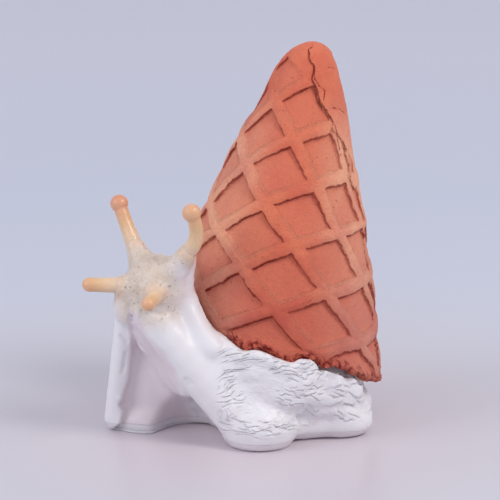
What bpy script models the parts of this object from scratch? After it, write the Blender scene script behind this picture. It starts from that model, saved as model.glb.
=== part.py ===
"""Snail figurine with a waffle-cone shell, as a plug-together assembly.

All driving dimensions are millimetres. The figure is laid out as it is displayed: X runs to the viewer's
right, Y away from the viewer and Z up. The empty figure_turn then turns the whole layout so that the snail
faces -Y, and centres it over the origin.
"""

import math

import bmesh
import bpy
from mathutils import Euler, Matrix, Vector

MM = 0.001

# The layout's place in the part's frame.
DISPLAY_TURN = 55.0
FIGURE_CENTRE = (-2.02, 12.53)

# Clearances, and how far a cutter runs past the surface that it cuts.
FIXED_GAP = 0.15
RUNNING_GAP = 0.08
OVERRUN = 2.0

# The cone stands over one upright axis. Each station gives a height, the section's centre in X and its
# outer radius, from the tip down; the upper half leans away from the head.
AXIS = (4.9, 17.0)
CONE_STATIONS = (
    (59.0, 9.3, 0.0),
    (58.6, 9.2, 1.8),
    (57.4, 8.9, 3.3),
    (55.6, 8.6, 4.3),
    (50.7, 7.9, 6.2),
    (46.0, 7.0, 8.0),
    (42.3, 6.3, 9.3),
    (38.1, 5.7, 10.6),
    (34.4, 5.1, 11.9),
    (31.5, 4.9, 12.7),
    (20.7, 4.9, 14.1),
    (11.5, 5.2, 14.8),
    (5.0, 5.3, 14.9),
)
CONE_WALL = 1.4
CONE_SEGMENTS = 48
CONE_RINGS = 16
CAVITY_TOP = 56.0
CAVITY_CROWN = 0.8
RIM_HEIGHT = 13.9
RIM_SLOPE = -0.475
RIM_WAVE = 1.6
RIM_WAVE_ANGLE = -122.0
CONE_TURN = 5.0
RIM_GAP = 0.25
CLEARANCE_TOP = 27.0

# The body's masses: each ellipsoid's centre, radii and turn about X, Y and Z in degrees.
BODY_MASSES = {
    "hump": ((4.9, 17.0, 8.0), (12.6, 12.6, 15.5), (0, 0, 0)),
    "foot": ((5.5, 16.5, 2.0), (13.4, 12.0, 4.4), (0, 0, 0)),
    "tail": ((12.0, 16.0, 2.8), (7.0, 9.5, 4.6), (0, 0, 0)),
    "tail_near": ((13.2, 11.0, 2.4), (5.8, 5.4, 4.0), (0, 0, 0)),
    "flank": ((6.5, 9.5, 6.5), (8.5, 5.5, 6.5), (0, 0, 0)),
    "near_lobe": ((1.4, 4.6, 3.0), (6.0, 6.0, 5.0), (0, 0, 0)),
    "near_shoulder": ((0.2, 7.0, 8.6), (6.6, 5.8, 6.0), (0, 0, 0)),
    "neck_near": ((-8.8, 8.4, 12.4), (6.0, 5.2, 7.2), (0, -30, 0)),
    "neck_core": ((-8.6, 13.5, 10.5), (7.0, 6.0, 9.5), (0, -25, 0)),
    "neck_far": ((-14.0, 12.6, 8.6), (5.8, 4.2, 10.6), (0, 0, 0)),
    "saddle": ((-4.2, 6.8, 11.0), (6.4, 5.4, 5.8), (0, 0, 0)),
    "toe": ((-15.0, 13.0, 1.2), (6.5, 5.2, 3.0), (0, 0, 0)),
    "sole_back": ((-8.5, 18.5, 1.8), (8.5, 6.0, 4.0), (0, 0, 0)),
    "throat": ((-13.5, 8.0, 18.5), (4.6, 4.2, 6.5), (0, 0, 0)),
    "head": ((-13.9, 6.5, 24.0), (4.8, 4.7, 4.7), (0, 0, 0)),
    "cheek": ((-11.6, 8.0, 22.0), (3.2, 3.8, 5.6), (0, 0, 0)),
    "lip": ((-18.5, 6.2, 20.6), (2.2, 2.2, 2.9), (0, 0, 0)),
}
# Its limbs, each a row of overlapping balls: start, end, start radius and end radius.
BODY_LIMBS = {
    "far_flange": ((-20.6, 11.8, 1.6), (-18.8, 8.5, 19.0), 2.0, 1.7),
    "near_flange": ((-1.0, 3.8, 4.0), (-15.0, 5.0, 20.0), 4.0, 3.0),
    "collar_far": ((-10.4, 14.4, 19.8), (-8.8, 8.8, 18.4), 1.9, 1.9),
    "collar_near": ((-8.8, 8.8, 18.4), (-5.4, 5.0, 15.0), 1.9, 1.9),
    "right_stalk_sleeve": ((-15.8, 8.6, 26.0), (-17.6, 10.2, 30.0), 2.3, 1.4),
    "left_stalk_sleeve": ((-11.8, 4.6, 26.0), (-8.6, 2.6, 30.4), 2.3, 1.4),
    "right_feeler_sleeve": ((-16.5, 5.6, 23.4), (-20.2, 5.2, 24.3), 1.8, 1.25),
    "left_feeler_sleeve": ((-14.0, 4.5, 23.4), (-14.2, 1.0, 23.5), 1.8, 1.25),
}
# The concave sole of the raised front, cut out of the masses.
SOLE_RECESS_LIMBS = {
    "throat_groove": ((-18.6, 2.4, 20.0), (-15.6, 2.6, 2.0), 1.3, 5.4),
}
SOLE_RECESS_MASSES = {
    "arch": ((-10.2, 6.0, 0.0), (5.0, 8.5, 7.0), (0, 0, -20)),
}
BALLS_PER_LIMB = 9
BLOCKOUT_SEGMENTS = 28
SCULPT_VOXEL = 0.5
SCULPT_SMOOTHING = 9
SCULPT_KEPT = 0.115

# The underside: a flat plate below the shell, with a ring that stands up into the shell's core.
PLATE_THICKNESS = 1.2
CORE_RADIUS = 9.2
CORE_STRAIGHT_TOP = 11.0
CORE_TOP = 15.5
CORE_CEILING_RADIUS = 5.6
RING_WALL = 1.5
RING_ROOT = 0.6
RING_HEIGHT = 2.6

# The pin that carries the cone.
PEG_SEAT = 22.8
PEG_SEAT_RADIUS = 5.6
PEG_FLANGE_RADIUS = 5.0
PEG_FLANGE_THICKNESS = 1.2
PEG_RADIUS = 3.0
PEG_FOOT = 12.6
PEG_TOP = 38.0
PEG_CHAMFER = 0.5
HEXAGON_ROOT = 0.5
GROOVE_RADIUS = 2.1
CLIP_THICKNESS = 0.9
CLIP_RADIUS = 4.7
CLIP_MOUTH = 3.0
ROUND_SEGMENTS = 32

# The cone's inner fitting: a bulkhead and a tube over the peg.
SOCKET_RADIUS = 4.8
SOCKET_ROOF = 1.4
BULKHEAD_HEIGHT = 30.0
BULKHEAD_THICKNESS = 1.6

# The tentacles: root, a point that the shaft bends towards, tip, shaft radius, ball radius.
TENTACLES = {
    "right_eye_stalk": ((-17.5, 10.1, 29.7), (-18.6, 11.1, 32.2), (-19.65, 12.0, 35.2), 1.0, 1.35),
    "left_eye_stalk": ((-8.8, 2.7, 30.2), (-7.0, 1.7, 32.6), (-8.5, 1.0, 36.1), 1.0, 1.35),
    "right_feeler": ((-20.0, 5.2, 24.25), (-22.2, 4.8, 24.4), (-23.8, 4.5, 24.5), 0.95, 0.95),
    "left_feeler": ((-14.2, 1.2, 23.5), (-14.6, -0.8, 23.3), (-14.9, -2.3, 23.2), 0.95, 0.95),
}
PLUG_RADIUS = 0.75
PLUG_LENGTH = 3.0
SHAFT_RINGS = 7
BALL_RINGS = 6
TENTACLE_SEGMENTS = 16


ON_CONE_AXIS = Matrix.Translation((*AXIS, 0.0))


def clear_scene():
    for obj in list(bpy.data.objects):
        bpy.data.objects.remove(obj, do_unlink=True)


def make_material(name, colour, roughness, transmission=0.0):
    material = bpy.data.materials.new(name)
    material.use_nodes = True
    shader = material.node_tree.nodes["Principled BSDF"]
    shader.inputs["Base Color"].default_value = (*colour, 1.0)
    shader.inputs["Roughness"].default_value = roughness
    shader.inputs["Metallic"].default_value = 0.0
    shader.inputs["Transmission Weight"].default_value = transmission
    return material


def make_figure_turn():
    """The empty that turns the display layout into the part's frame."""
    turn = bpy.data.objects.new("figure_turn", None)
    bpy.context.scene.collection.objects.link(turn)
    turn.rotation_euler.z = math.radians(DISPLAY_TURN)
    centre = Vector((*FIGURE_CENTRE, 0.0)) * MM
    turn.location = -(Matrix.Rotation(math.radians(DISPLAY_TURN), 3, "Z") @ centre)
    return turn


def make_axis(name, point, parent):
    """An empty on a joint's axis, for the pieces that turn or slide on it."""
    axis = bpy.data.objects.new(name, None)
    bpy.context.scene.collection.objects.link(axis)
    axis.parent = parent
    axis.location = Vector(point) * MM
    return axis


def make_object(name, form, parent, origin=(0.0, 0.0, 0.0), sharp_angle=35.0):
    """An object from a bmesh drawn in layout millimetres, with its origin at the given layout point."""
    bmesh.ops.recalc_face_normals(form, faces=form.faces)
    bmesh.ops.translate(form, vec=-Vector(origin), verts=form.verts)
    bmesh.ops.scale(form, vec=(MM, MM, MM), verts=form.verts)
    mesh = bpy.data.meshes.new(name)
    form.to_mesh(mesh)
    form.free()
    mesh.shade_smooth()
    mesh.set_sharp_from_angle(angle=math.radians(sharp_angle))
    obj = bpy.data.objects.new(name, mesh)
    bpy.context.scene.collection.objects.link(obj)
    obj.parent = parent
    on_own_axis = parent.name != "figure_turn"
    obj.location = (0.0, 0.0, 0.0) if on_own_axis else Vector(origin) * MM
    return obj


def hide_helper(obj):
    obj.hide_render = True
    obj.display_type = "WIRE"


def combine(obj, other, operation):
    boolean = obj.modifiers.new(f"{operation.lower()}_{other.name}", "BOOLEAN")
    boolean.operation = operation
    boolean.solver = "EXACT"
    boolean.object = other


def interpolate(stations, height):
    """The values between two stations, which run from the highest to the lowest."""
    for upper, lower in zip(stations, stations[1:]):
        if height >= lower[0]:
            share = (upper[0] - height) / (upper[0] - lower[0])
            return [a + (b - a) * share for a, b in zip(upper[1:], lower[1:])]
    return list(stations[-1][1:])


def add_circle(form, radius, height, segments, place):
    """A ring of vertices round the Z axis of the given frame."""
    ring = []
    for i in range(segments):
        angle = math.tau * i / segments
        point = Vector((radius * math.cos(angle), radius * math.sin(angle), height))
        ring.append(form.verts.new(place @ point))
    return ring


def bridge(form, lower, upper):
    """Quads between two rings of equal length."""
    count = len(lower)
    for i in range(count):
        after = (i + 1) % count
        form.faces.new((lower[i], lower[after], upper[after], upper[i]))


def cap(form, ring, point):
    """Triangles from a ring to a pole."""
    pole = form.verts.new(point)
    for i in range(len(ring)):
        form.faces.new((ring[i], ring[(i + 1) % len(ring)], pole))


def add_turned(form, profile, segments, place):
    """A closed turned solid. The profile lists (radius, height), and starts and ends on the axis."""
    rings = [add_circle(form, radius, height, segments, place) for radius, height in profile[1:-1]]
    for lower, upper in zip(rings, rings[1:]):
        bridge(form, lower, upper)
    cap(form, rings[0], place @ Vector((0.0, 0.0, profile[0][1])))
    cap(form, rings[-1], place @ Vector((0.0, 0.0, profile[-1][1])))


def add_ring(form, profile, segments, place):
    """A turned ring whose profile is a closed loop off the axis."""
    loops = [add_circle(form, radius, height, segments, place) for radius, height in profile]
    for lower, upper in zip(loops, loops[1:] + loops[:1]):
        bridge(form, lower, upper)


def add_hexagonal(form, across, foot, top):
    """A hexagonal bar on the cone's axis, by its width across corners."""
    profile = ((0.0, foot), (across / 2.0, foot), (across / 2.0, top), (0.0, top))
    add_turned(form, profile, 6, ON_CONE_AXIS)


def add_ellipsoid(form, centre, radii, turn=(0, 0, 0)):
    rotation = Euler([math.radians(angle) for angle in turn]).to_matrix().to_4x4()
    place = Matrix.Translation(Vector(centre)) @ rotation @ Matrix.Diagonal((*radii, 1.0))
    bmesh.ops.create_uvsphere(
        form, u_segments=BLOCKOUT_SEGMENTS, v_segments=BLOCKOUT_SEGMENTS // 2, radius=1.0, matrix=place
    )


def add_limb(form, start, end, start_radius, end_radius):
    for i in range(BALLS_PER_LIMB):
        share = i / (BALLS_PER_LIMB - 1)
        radius = start_radius + (end_radius - start_radius) * share
        add_ellipsoid(form, Vector(start).lerp(Vector(end), share), (radius,) * 3)


def cone_point(height, angle, wall):
    """A point on the cone's outer surface, or inside it by the wall."""
    centre, radius = interpolate(CONE_STATIONS, height)
    radius -= wall
    return Vector((centre + radius * math.cos(angle), AXIS[1] + radius * math.sin(angle), height))


def rim_height(angle, wall):
    """Where a meridian ends: on the slanted plane of the mouth, which dips twice round the rim."""
    wave = -RIM_WAVE * math.cos(2.0 * (angle - math.radians(RIM_WAVE_ANGLE)))
    height = RIM_HEIGHT
    for _ in range(8):
        point = cone_point(height, angle, wall)
        height = RIM_HEIGHT + RIM_SLOPE * (point.x - AXIS[0]) + wave
    return height


def swept_rim_height(angle, wall):
    """The lowest that the rim comes over a meridian as the cone turns through its range, less a gap."""
    reach = math.radians(CONE_TURN)
    lowest = min(rim_height(angle + reach * step, wall) for step in (-1.0, -0.5, 0.0, 0.5, 1.0))
    return lowest - RIM_GAP


def cone_rings(form, top, wall, foot, count=CONE_RINGS):
    """Rings from just under the top, spaced closer near it, down to the foot of each meridian."""
    rings = []
    for level in range(1, count + 1):
        share = (level / count) ** 1.5
        ring = []
        for i in range(CONE_SEGMENTS):
            angle = math.tau * i / CONE_SEGMENTS
            height = top + (foot(angle, wall) - top) * share
            ring.append(form.verts.new(cone_point(height, angle, wall)))
        rings.append(ring)
    for upper, lower in zip(rings, rings[1:]):
        bridge(form, lower, upper)
    return rings


# ---------------------------------------------------------------------------------------- the body


def make_recess(turn):
    form = bmesh.new()
    for centre, radii, angles in SOLE_RECESS_MASSES.values():
        add_ellipsoid(form, centre, radii, angles)
    for limb in SOLE_RECESS_LIMBS.values():
        add_limb(form, *limb)
    recess = make_object("sole_recess", form, turn)
    remesh = recess.modifiers.new("join", "REMESH")
    remesh.mode = "VOXEL"
    remesh.voxel_size = SCULPT_VOXEL * MM
    hide_helper(recess)
    return recess


def make_body_form(turn, recess):
    """A helper with the body's whole outer form: its masses joined, hollowed under the throat, smoothed."""
    form = bmesh.new()
    for centre, radii, angles in BODY_MASSES.values():
        add_ellipsoid(form, centre, radii, angles)
    for limb in BODY_LIMBS.values():
        add_limb(form, *limb)
    sculpt = make_object("body_form", form, turn)
    join = sculpt.modifiers.new("join", "REMESH")
    join.mode = "VOXEL"
    join.voxel_size = SCULPT_VOXEL * MM
    combine(sculpt, recess, "DIFFERENCE")
    even = sculpt.modifiers.new("even", "REMESH")
    even.mode = "VOXEL"
    even.voxel_size = SCULPT_VOXEL * MM
    smooth = sculpt.modifiers.new("smooth", "SMOOTH")
    smooth.factor = 0.5
    smooth.iterations = SCULPT_SMOOTHING
    thin = sculpt.modifiers.new("thin", "DECIMATE")
    thin.ratio = SCULPT_KEPT
    hide_helper(sculpt)
    return sculpt


def make_box(name, low, high, turn):
    form = bmesh.new()
    size = Vector(high) - Vector(low)
    middle = (Vector(high) + Vector(low)) / 2
    bmesh.ops.create_cube(form, size=1.0, matrix=Matrix.Translation(middle) @ Matrix.Diagonal((*size, 1.0)))
    return make_object(name, form, turn)


def make_core(turn):
    form = bmesh.new()
    profile = (
        (0.0, -OVERRUN),
        (CORE_RADIUS, -OVERRUN),
        (CORE_RADIUS, CORE_STRAIGHT_TOP),
        (CORE_CEILING_RADIUS, CORE_TOP),
        (0.0, CORE_TOP),
    )
    add_turned(form, profile, ROUND_SEGMENTS, ON_CONE_AXIS)
    core = make_object("core_cutter", form, turn)
    hide_helper(core)
    return core


def make_peg_bore(turn):
    """The peg's bore, with a flat seat for its flange."""
    form = bmesh.new()
    bore = (PEG_RADIUS + RUNNING_GAP) / math.cos(math.pi / ROUND_SEGMENTS)
    profile = (
        (0.0, CORE_TOP - OVERRUN),
        (bore, CORE_TOP - OVERRUN),
        (bore, PEG_SEAT),
        (PEG_SEAT_RADIUS, PEG_SEAT),
        (PEG_SEAT_RADIUS, PEG_SEAT + 3.0 * OVERRUN),
        (0.0, PEG_SEAT + 3.0 * OVERRUN),
    )
    add_turned(form, profile, ROUND_SEGMENTS, ON_CONE_AXIS)
    cutter = make_object("peg_bore_cutter", form, turn)
    hide_helper(cutter)
    return cutter


def make_rim_clearance(turn):
    """The space that the cone's rim sweeps, which the skin stays out of."""
    form = bmesh.new()
    outer = cone_rings(form, CLEARANCE_TOP, -RIM_GAP, swept_rim_height, 3)
    inner = cone_rings(form, CLEARANCE_TOP, CONE_WALL + RIM_GAP, swept_rim_height, 3)
    bridge(form, inner[0], outer[0])
    bridge(form, outer[-1], inner[-1])
    clearance = make_object("rim_clearance_cutter", form, turn)
    hide_helper(clearance)
    return clearance


def plug_place(root, bend):
    """The frame at a tentacle's root, with Z along its plug."""
    outward = (Vector(bend) - Vector(root)).normalized()
    return Matrix.Translation(Vector(root)) @ outward.to_track_quat("Z", "Y").to_matrix().to_4x4()


def make_tentacle_sockets(turn):
    """One blind bore for each tentacle's plug, with a flat seat round its mouth."""
    cutters = []
    bore = (PLUG_RADIUS + RUNNING_GAP) / math.cos(math.pi / TENTACLE_SEGMENTS)
    for name, (root, bend, _, _, ball_radius) in TENTACLES.items():
        form = bmesh.new()
        profile = (
            (0.0, -PLUG_LENGTH - FIXED_GAP),
            (bore, -PLUG_LENGTH - FIXED_GAP),
            (bore, 0.0),
            (2.0 * ball_radius, 0.0),
            (2.0 * ball_radius, OVERRUN),
            (0.0, OVERRUN),
        )
        add_turned(form, profile, TENTACLE_SEGMENTS, plug_place(root, bend))
        cutter = make_object(f"{name}_socket_cutter", form, turn)
        hide_helper(cutter)
        cutters.append(cutter)
    return cutters


def make_body_shell(turn, body_form, white):
    """All of the body's form above the plate, cored out from below."""
    floor = PLATE_THICKNESS + FIXED_GAP
    body = make_box("body_shell", (-60, -40, floor), (60, 60, 60), turn)
    body.data.materials.append(white)
    combine(body, body_form, "INTERSECT")
    cutters = (make_rim_clearance(turn), make_core(turn), make_peg_bore(turn), *make_tentacle_sockets(turn))
    for cutter in cutters:
        combine(body, cutter, "DIFFERENCE")
    return body


def make_sole_plate(turn, body_form, milky):
    """The lowest slice of the body's form, with a ring that stands up into the core."""
    plate = make_box("sole_plate", (-60, -40, 0.0), (60, 60, PLATE_THICKNESS), turn)
    plate.data.materials.append(milky)
    combine(plate, body_form, "INTERSECT")
    form = bmesh.new()
    outer = CORE_RADIUS * math.cos(math.pi / ROUND_SEGMENTS) - FIXED_GAP
    inner = outer - RING_WALL
    top = PLATE_THICKNESS + RING_HEIGHT
    profile = ((outer, RING_ROOT), (outer, top), (inner, top), (inner, RING_ROOT))
    add_ring(form, profile, ROUND_SEGMENTS, ON_CONE_AXIS)
    ring = make_object("plate_ring", form, turn)
    hide_helper(ring)
    combine(plate, ring, "UNION")
    return plate


# ---------------------------------------------------------------------------------------- the cone


def make_cone_shell(axis, terracotta):
    form = bmesh.new()
    outer = cone_rings(form, CONE_STATIONS[0][0], 0.0, rim_height)
    inner = cone_rings(form, CAVITY_TOP, CONE_WALL, rim_height)
    cap(form, outer[0], (CONE_STATIONS[0][1], AXIS[1], CONE_STATIONS[0][0]))
    cap(form, inner[0], (interpolate(CONE_STATIONS, CAVITY_TOP)[0], AXIS[1], CAVITY_TOP + CAVITY_CROWN))
    bridge(form, inner[-1], outer[-1])
    shell = make_object("cone_shell", form, axis, (*AXIS, 0.0))
    shell.data.materials.append(terracotta)
    return shell


def make_cone_socket(axis, turn, plastic):
    """The bulkhead that is fixed across the cone, with the tube that drops over the peg."""
    form = bmesh.new()
    foot = PEG_SEAT + PEG_FLANGE_THICKNESS + FIXED_GAP
    roof = PEG_TOP + FIXED_GAP + SOCKET_ROOF
    profile = ((0.0, foot), (SOCKET_RADIUS, foot), (SOCKET_RADIUS, roof), (0.0, roof))
    add_turned(form, profile, ROUND_SEGMENTS, ON_CONE_AXIS)
    socket = make_object("cone_socket", form, axis, (*AXIS, 0.0))
    socket.data.materials.append(plastic)

    form = bmesh.new()
    rings = []
    for height in (BULKHEAD_HEIGHT, BULKHEAD_HEIGHT + BULKHEAD_THICKNESS):
        ring = []
        for i in range(CONE_SEGMENTS):
            angle = math.tau * i / CONE_SEGMENTS
            ring.append(form.verts.new(cone_point(height, angle, CONE_WALL + FIXED_GAP)))
        rings.append(ring)
        cap(form, ring, (AXIS[0], AXIS[1], height))
    bridge(form, *rings)
    bulkhead = make_object("bulkhead", form, turn)
    hide_helper(bulkhead)
    combine(socket, bulkhead, "UNION")

    form = bmesh.new()
    add_hexagonal(form, PEG_RADIUS * 2.0 + RUNNING_GAP * 2.0, foot - OVERRUN, PEG_TOP + FIXED_GAP)
    bore = make_object("socket_bore_cutter", form, turn)
    hide_helper(bore)
    combine(socket, bore, "DIFFERENCE")
    return socket


# ----------------------------------------------------------------------------------------- the peg


def make_cone_peg(axis, turn, plastic):
    """Round below its flange, where it turns in the body, and hexagonal above, where the cone slides."""
    form = bmesh.new()
    groove_top = CORE_TOP - FIXED_GAP
    groove_foot = groove_top - CLIP_THICKNESS - 2.0 * FIXED_GAP
    flange_top = PEG_SEAT + RUNNING_GAP + PEG_FLANGE_THICKNESS
    profile = (
        (0.0, PEG_FOOT),
        (PEG_RADIUS - PEG_CHAMFER, PEG_FOOT),
        (PEG_RADIUS, PEG_FOOT + PEG_CHAMFER),
        (PEG_RADIUS, groove_foot),
        (GROOVE_RADIUS, groove_foot),
        (GROOVE_RADIUS, groove_top),
        (PEG_RADIUS, groove_top),
        (PEG_RADIUS, PEG_SEAT + RUNNING_GAP),
        (PEG_FLANGE_RADIUS, PEG_SEAT + RUNNING_GAP),
        (PEG_FLANGE_RADIUS, flange_top),
        (0.0, flange_top),
    )
    add_turned(form, profile, ROUND_SEGMENTS, ON_CONE_AXIS)
    peg = make_object("cone_peg", form, axis, (*AXIS, 0.0))
    peg.data.materials.append(plastic)
    form = bmesh.new()
    add_hexagonal(form, PEG_RADIUS * 2.0, flange_top - HEXAGON_ROOT, PEG_TOP)
    bar = make_object("peg_hexagon", form, turn)
    hide_helper(bar)
    combine(peg, bar, "UNION")
    return peg


def make_peg_retainer(axis, turn, plastic):
    """The open clip in the peg's groove, just under the core's ceiling."""
    top = CORE_TOP - 2.0 * FIXED_GAP
    form = bmesh.new()
    inner = (GROOVE_RADIUS + RUNNING_GAP) / math.cos(math.pi / ROUND_SEGMENTS)
    foot = top - CLIP_THICKNESS
    profile = ((inner, foot), (inner, top), (CLIP_RADIUS, top), (CLIP_RADIUS, foot))
    add_ring(form, profile, ROUND_SEGMENTS, ON_CONE_AXIS)
    clip = make_object("peg_retainer", form, axis, (*AXIS, 0.0))
    clip.data.materials.append(plastic)
    mouth_low = (AXIS[0] - CLIP_MOUTH / 2.0, AXIS[1], top - 2.0 * CLIP_THICKNESS)
    mouth_high = (AXIS[0] + CLIP_MOUTH / 2.0, AXIS[1] + 2.0 * CLIP_RADIUS, top + CLIP_THICKNESS)
    mouth = make_box("clip_mouth_cutter", mouth_low, mouth_high, turn)
    hide_helper(mouth)
    combine(clip, mouth, "DIFFERENCE")
    return clip


# ----------------------------------------------------------------------------------- the tentacles


def tentacle_rings(root, bend, tip, shaft_radius, ball_radius):
    """(centre, direction, radius) of each ring, from the plug's foot to the ball's crown."""
    root, bend, tip = Vector(root), Vector(bend), Vector(tip)
    outward = (bend - root).normalized()
    shoulder = root + outward * RUNNING_GAP
    rings = [(root - outward * PLUG_LENGTH, outward, PLUG_RADIUS), (shoulder, outward, PLUG_RADIUS)]
    end = (tip - bend).normalized()
    neck = math.pi / 2.0 if ball_radius <= shaft_radius else math.asin(shaft_radius / ball_radius)
    neck_point = tip - end * ball_radius * math.cos(neck)
    for i in range(SHAFT_RINGS + 1):
        share = i / SHAFT_RINGS
        before, after = shoulder.lerp(bend, share), bend.lerp(neck_point, share)
        rings.append((before.lerp(after, share), (after - before).normalized(), shaft_radius))
    for i in range(1, BALL_RINGS):
        turn = neck + (math.pi - neck) * i / BALL_RINGS
        rings.append((tip - end * ball_radius * math.cos(turn), end, ball_radius * math.sin(turn)))
    return rings, tip + end * ball_radius


def make_tentacle(name, turn, amber):
    form = bmesh.new()
    path, crown = tentacle_rings(*TENTACLES[name])
    frame = path[0][1].to_track_quat("Z", "Y")
    along = path[0][1]
    rings = []
    for centre, direction, radius in path:
        frame = along.rotation_difference(direction) @ frame
        along = direction
        ring = []
        for i in range(TENTACLE_SEGMENTS):
            angle = math.tau * i / TENTACLE_SEGMENTS
            offset = Vector((radius * math.cos(angle), radius * math.sin(angle), 0.0))
            ring.append(form.verts.new(centre + frame @ offset))
        rings.append(ring)
    for lower, upper in zip(rings, rings[1:]):
        bridge(form, lower, upper)
    cap(form, rings[0], path[0][0])
    cap(form, rings[-1], crown)
    tentacle = make_object(name, form, turn, TENTACLES[name][0])
    tentacle.data.materials.append(amber)
    return tentacle


def main():
    clear_scene()
    white = make_material("white_skin", (0.84, 0.83, 0.84), 0.6)
    milky = make_material("milky_sole", (0.80, 0.72, 0.74), 0.35)
    terracotta = make_material("terracotta_wafer", (0.62, 0.18, 0.115), 0.65)
    amber = make_material("amber_tentacle", (0.80, 0.42, 0.22), 0.25, 0.3)
    natural = make_material("natural_plastic", (0.78, 0.77, 0.74), 0.45)

    turn = make_figure_turn()
    body_form = make_body_form(turn, make_recess(turn))
    make_body_shell(turn, body_form, white)
    make_sole_plate(turn, body_form, milky)

    cone_axis = make_axis("cone_axis", (*AXIS, 0.0), turn)
    make_cone_shell(cone_axis, terracotta)
    make_cone_socket(cone_axis, turn, natural)
    make_cone_peg(cone_axis, turn, natural)
    make_peg_retainer(cone_axis, turn, natural)

    for name in TENTACLES:
        make_tentacle(name, turn, amber)


main()
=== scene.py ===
"""Looks of the snail figurine: sculpted skin, pressed wafer cone, amber tentacles and the studio round it.

Shapes are laid out in millimetres as the figure is displayed: X to the viewer's right, Y away from the viewer
and Z up. to_frame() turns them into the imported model's axes, in metres.
"""

import itertools
import math

import bmesh
import bpy
import numpy as np
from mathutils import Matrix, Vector
from mathutils.kdtree import KDTree


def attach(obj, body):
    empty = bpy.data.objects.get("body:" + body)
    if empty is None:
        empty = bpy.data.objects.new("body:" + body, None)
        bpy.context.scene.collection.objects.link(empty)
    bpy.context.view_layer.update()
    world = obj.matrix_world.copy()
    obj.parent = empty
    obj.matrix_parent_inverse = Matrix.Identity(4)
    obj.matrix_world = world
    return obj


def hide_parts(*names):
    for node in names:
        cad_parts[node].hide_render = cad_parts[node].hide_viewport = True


MM = 0.001

# The display layout's place in the frame.
DISPLAY_TURN = math.radians(55.0)
FIGURE_CENTRE = (-2.02, 12.53)
AXIS = (4.9, 17.0)

# The camera, in the layout.
CAMERA_TARGET = (0.0, 10.0, 28.5)
CAMERA_DISTANCE = 350.0
CAMERA_ELEVATION = math.radians(13.0)
CAMERA_ANGLE = math.radians(12.23)
TOWARD_CAMERA = np.array([0.0, -math.cos(CAMERA_ELEVATION), math.sin(CAMERA_ELEVATION)])
FLOOR_LINE = 30.0


# ---- points and noise


def to_frame(points):
    """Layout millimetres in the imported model's axes, in metres."""
    points = np.asarray(points, float)
    x, y = points[..., 0] - FIGURE_CENTRE[0], points[..., 1] - FIGURE_CENTRE[1]
    c, s = math.cos(DISPLAY_TURN), math.sin(DISPLAY_TURN)
    return np.stack([c * x - s * y, s * x + c * y, points[..., 2]], -1) * MM


def to_layout(points):
    """The other way round."""
    points = np.asarray(points, float) / MM
    c, s = math.cos(DISPLAY_TURN), math.sin(DISPLAY_TURN)
    x = c * points[..., 0] + s * points[..., 1] + FIGURE_CENTRE[0]
    y = -s * points[..., 0] + c * points[..., 1] + FIGURE_CENTRE[1]
    return np.stack([x, y, points[..., 2]], -1)


def front_view(points):
    """Where layout points appear from the front: millimetres right of the middle and above the floor line."""
    along, up = math.cos(CAMERA_ELEVATION), math.sin(CAMERA_ELEVATION)
    back = points[:, 1] - CAMERA_TARGET[1]
    rise = points[:, 2] - CAMERA_TARGET[2]
    scale = CAMERA_DISTANCE / (CAMERA_DISTANCE + back * along - rise * up)
    return points[:, 0] * scale, (rise * along + back * up) * scale + FLOOR_LINE


def ease(low, high, values):
    """0 below low, 1 above high, smooth between. low may be the larger of the two."""
    share = np.clip((values - low) / (high - low), 0.0, 1.0)
    return share * share * (3.0 - 2.0 * share)


def unit(vector):
    return vector / np.linalg.norm(vector)


def scrambled(cells, seed):
    """A repeatable number from 0 to 1 for each integer cell."""
    cells = cells.astype(np.int64)
    mixed = cells[..., 0] * 73856093 ^ cells[..., 1] * 19349663 ^ cells[..., 2] * 83492791 ^ seed * 50331653
    mixed = ((mixed ^ (mixed >> 13)) * 1274126177) & 0xFFFFFFFF
    mixed = ((mixed ^ (mixed >> 15)) * 2246822519) & 0xFFFFFFFF
    return (mixed ^ (mixed >> 16)) / 4294967296.0


def noise(points, size, seed, octaves=2):
    """Smooth noise from about -1 to 1, with features of the given size."""
    total, weight = 0.0, 1.0
    for octave in range(octaves):
        scaled = points * (2.03**octave / size) + 17.3 * (octave + seed)
        cell = np.floor(scaled)
        share = scaled - cell
        share = share**3 * (share * (share * 6.0 - 15.0) + 10.0)
        for corner in itertools.product((0, 1), repeat=3):
            weights = np.prod(np.where(np.array(corner) == 1, share, 1.0 - share), -1)
            total = total + weight * weights * (2.0 * scrambled(cell + corner, seed) - 1.0)
        weight *= 0.5
    return total


def grains(points, size, seed):
    """Rounded grains packed at the given size: 1 on each grain's crown and 0 in the gaps."""
    scaled = points / size
    cell = np.floor(scaled)
    nearest = np.full(len(points), 9.0)
    for corner in itertools.product((-1, 0, 1), repeat=3):
        other = cell + corner
        centre = other + np.stack([scrambled(other, seed + axis) for axis in range(3)], -1)
        nearest = np.minimum(nearest, np.linalg.norm(scaled - centre, axis=-1))
    return np.clip(1.0 - 1.5 * nearest, 0.0, 1.0)


# ---- meshes


def tube_faces(rows, count):
    """Faces for rows of points one after the other, closed by a pole at either end."""
    ring = np.arange(count)
    after = (ring + 1) % count
    faces = []
    for start in range(0, (rows - 1) * count, count):
        below = start + count
        faces += np.stack([start + ring, below + ring, below + after, start + after], -1).tolist()
    first_pole, last_pole, last = rows * count, rows * count + 1, (rows - 1) * count
    faces += [[first_pole, int(i), int(j)] for i, j in zip(ring, after)]
    faces += [[last_pole, int(last + j), int(last + i)] for i, j in zip(ring, after)]
    return faces


def path_distance(spots, path):
    """Distance from each spot to a path of points."""
    nearest = np.full(len(spots), 1e9)
    for start, end in zip(np.array(path)[:-1], np.array(path)[1:]):
        axis = end - start
        share = np.clip((spots - start) @ axis / (axis @ axis), 0.0, 1.0)
        nearest = np.minimum(nearest, np.linalg.norm(spots - (start + share[:, None] * axis), axis=1))
    return nearest


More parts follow.
